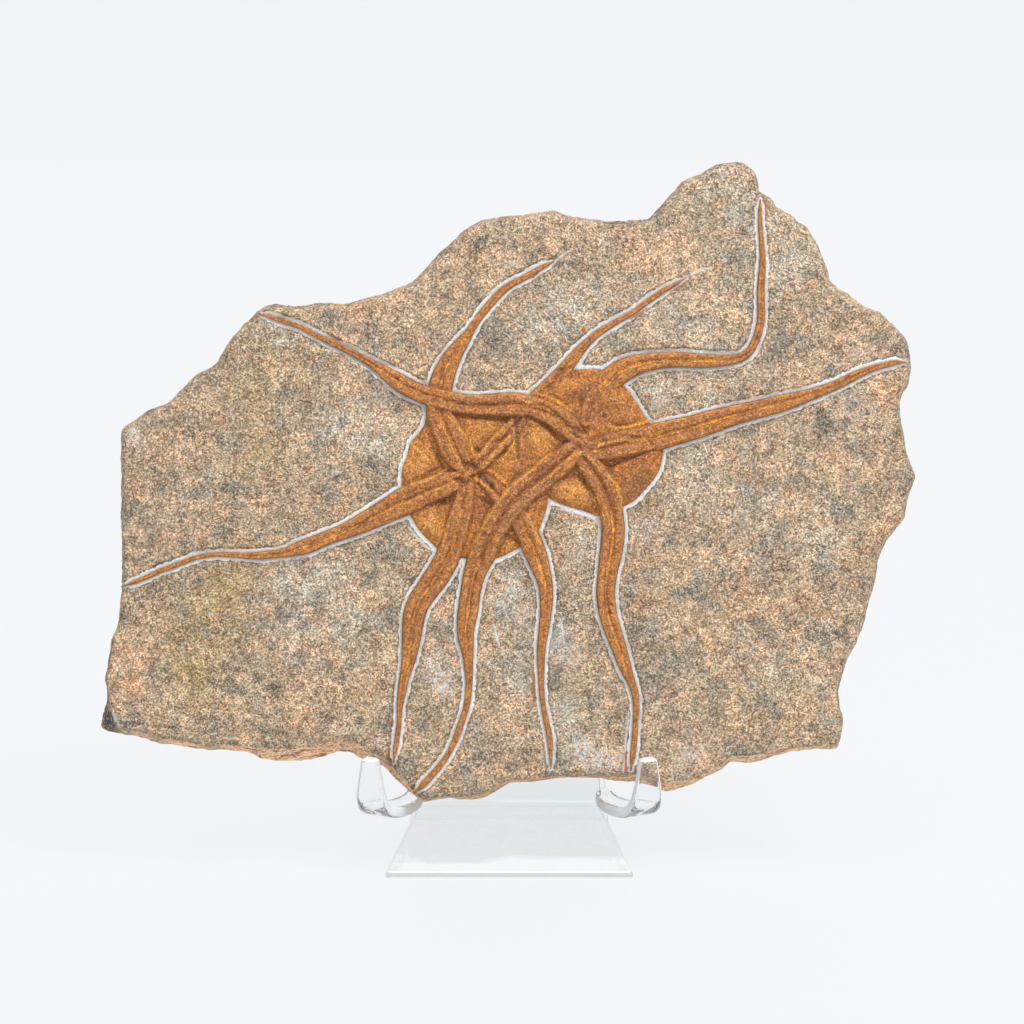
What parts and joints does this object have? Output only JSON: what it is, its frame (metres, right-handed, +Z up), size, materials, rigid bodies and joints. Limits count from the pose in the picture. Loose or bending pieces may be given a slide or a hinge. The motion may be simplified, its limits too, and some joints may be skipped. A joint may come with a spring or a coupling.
{
  "type": "brittle star fossil",
  "caption": "Flat sandstone slab with overlapping brittle stars raised on its face, leaning upright on a bent clear stand.",
  "frame": {"origin": "bottom centre of the bounding box, on the surface the stand rests on", "axes": "+Z up, +X across the slab to the viewer's right, +Y from the slab's front to its back, so the front faces -Y"},
  "size_m": [0.2042, 0.0514, 0.1752],
  "materials": {
    "sandstone": "rough speckled sandstone with an orange-brown fossil",
    "clear_acrylic": "polished clear acrylic sheet"
  },
  "bodies": {
    "root": {"fossil_slab": "sandstone", "display_stand": "clear_acrylic"}
  },
  "joints": []
}
